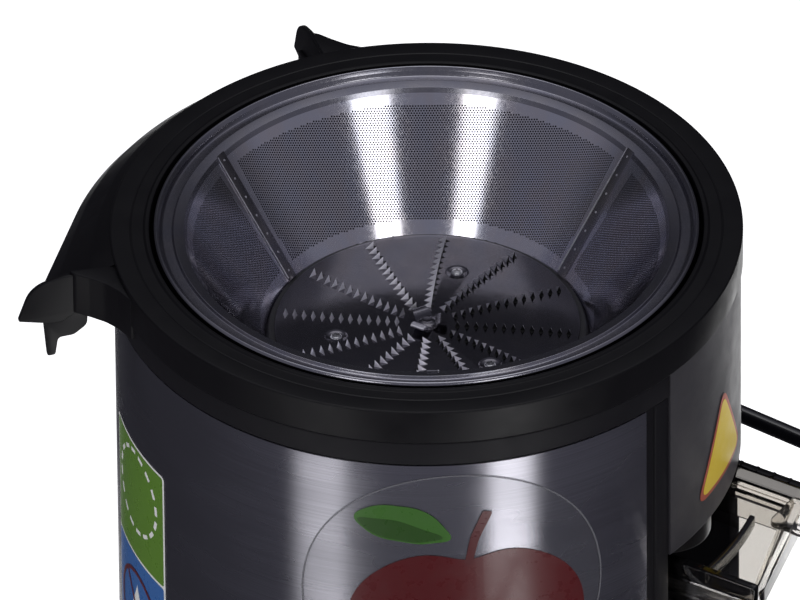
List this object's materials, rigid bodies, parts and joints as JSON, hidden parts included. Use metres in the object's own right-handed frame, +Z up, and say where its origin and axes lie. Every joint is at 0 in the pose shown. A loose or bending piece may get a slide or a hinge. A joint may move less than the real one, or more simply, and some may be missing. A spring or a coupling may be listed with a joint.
{
  "type": "centrifugal juicer",
  "caption": "Centrifugal juicer, lid off: steel strainer basket with a grater disc in a black bowl on a drum-shaped motor base, with a spout, jug and locking bail.",
  "frame": {"origin": "on the surface the juicer stands on, under the middle of its bounding box; the spin axis stands at X = -20.95 mm, Y = 4.5 mm", "axes": "+Z up along the basket's spin axis, +X towards the juice spout and jug, -X towards the pulp wing, -Y towards the speed knob"},
  "size_m": [0.2325, 0.193, 0.191],
  "materials": {
    "housing_plastic": "satin, fine moulded grain",
    "base_plastic": "matt",
    "collector_plastic": "satin to semi-gloss",
    "brushed_steel": "brushed round the drum",
    "basket_steel": "polished sheet",
    "disc_steel": "polished",
    "rivet_steel": "polished",
    "carrier_plastic": "satin",
    "nylon": "natural nylon",
    "shaft_steel": "ground",
    "lamination_steel": "stacked sheet, varnished",
    "copper_winding": "enamelled copper",
    "bracket_plastic": "glass-filled",
    "zinc_steel": "zinc plated",
    "rubber": "matt",
    "brush_brass": "pressed",
    "carbon": "pressed carbon",
    "cable_sleeve": "pvc sleeve",
    "capacitor_case": "cast case",
    "dial_gloss": "gloss",
    "knob_plastic": "satin",
    "bail_lacquer": "gloss black lacquer",
    "jug_clear": "clear",
    "lid_smoke": "smoky clear",
    "badge_film": "clear film with a print",
    "info_print": "gloss paper",
    "warning_print": "gloss film"
  },
  "bodies": {
    "base": {"bail_pin_1": "zinc_steel", "bail_pin_2": "zinc_steel", "base_plate": "base_plastic", "base_screw_1": "zinc_steel", "base_screw_2": "zinc_steel", "base_screw_3": "zinc_steel", "brush_holder_1": "brush_brass", "brush_holder_2": "brush_brass", "carbon_brush_1": "carbon", "carbon_brush_2": "carbon", "cord_gland": "rubber", "dial_bezel": "dial_gloss", "field_coil_1": "copper_winding", "field_coil_2": "copper_winding", "foot_1": "rubber", "foot_2": "rubber", "foot_3": "rubber", "foot_4": "rubber", "front_badge": "badge_film", "housing_trim": "housing_plastic", "info_label": "info_print", "interlock_switch": "bracket_plastic", "juice_collector": "collector_plastic", "lower_bearing": "shaft_steel", "lower_motor_bracket": "bracket_plastic", "motor_bolt_1": "zinc_steel", "motor_bolt_2": "zinc_steel", "motor_housing": "housing_plastic", "mounting_screw_1": "zinc_steel", "mounting_screw_2": "zinc_steel", "mounting_screw_3": "zinc_steel", "rubber_bush_1": "rubber", "rubber_bush_2": "rubber", "rubber_bush_3": "rubber", "shaft_seal": "rubber", "speed_switch": "nylon", "stator_core": "lamination_steel", "steel_front_panel": "brushed_steel", "supply_wires": "cable_sleeve", "suppression_capacitor": "capacitor_case", "upper_bearing": "shaft_steel", "upper_motor_bracket": "bracket_plastic", "warning_label": "warning_print"},
    "spinner": {"filter_cone": "basket_steel", "basket_rim": "basket_steel", "basket_base": "carrier_plastic", "grater_disc": "disc_steel", "disc_rivet_1": "rivet_steel", "disc_rivet_2": "rivet_steel", "disc_rivet_3": "rivet_steel", "drive_coupling": "nylon", "motor_shaft": "shaft_steel", "rotor_core": "lamination_steel", "commutator": "copper_winding", "cooling_fan": "nylon"},
    "bail": {"bail_rod": "bail_lacquer"},
    "knob": {"speed_knob": "knob_plastic"},
    "jug": {"jug": "jug_clear", "jug_lid": "lid_smoke"}
  },
  "joints": [
    {"name": "basket_spin", "type": "hinge", "parent": "base", "child": "spinner", "pos_m": [-0.02095, 0.0045, 0.157], "axis": [0, 0, 1], "continuous": true},
    {"name": "bail_swing", "type": "hinge", "parent": "base", "child": "bail", "pos_m": [-0.02095, 0.0045, 0.093], "axis": [0, -1, 0], "range_deg": [0, 94]},
    {"name": "knob_turn", "type": "hinge", "parent": "base", "child": "knob", "pos_m": [-0.02095, -0.0855, 0.052], "axis": [0, -1, 0], "range_deg": [-45, 90]},
    {"name": "jug_slide", "type": "slide", "parent": "base", "child": "jug", "axis": [1, 0, 0], "range_m": [0, 0.018]}
  ]
}
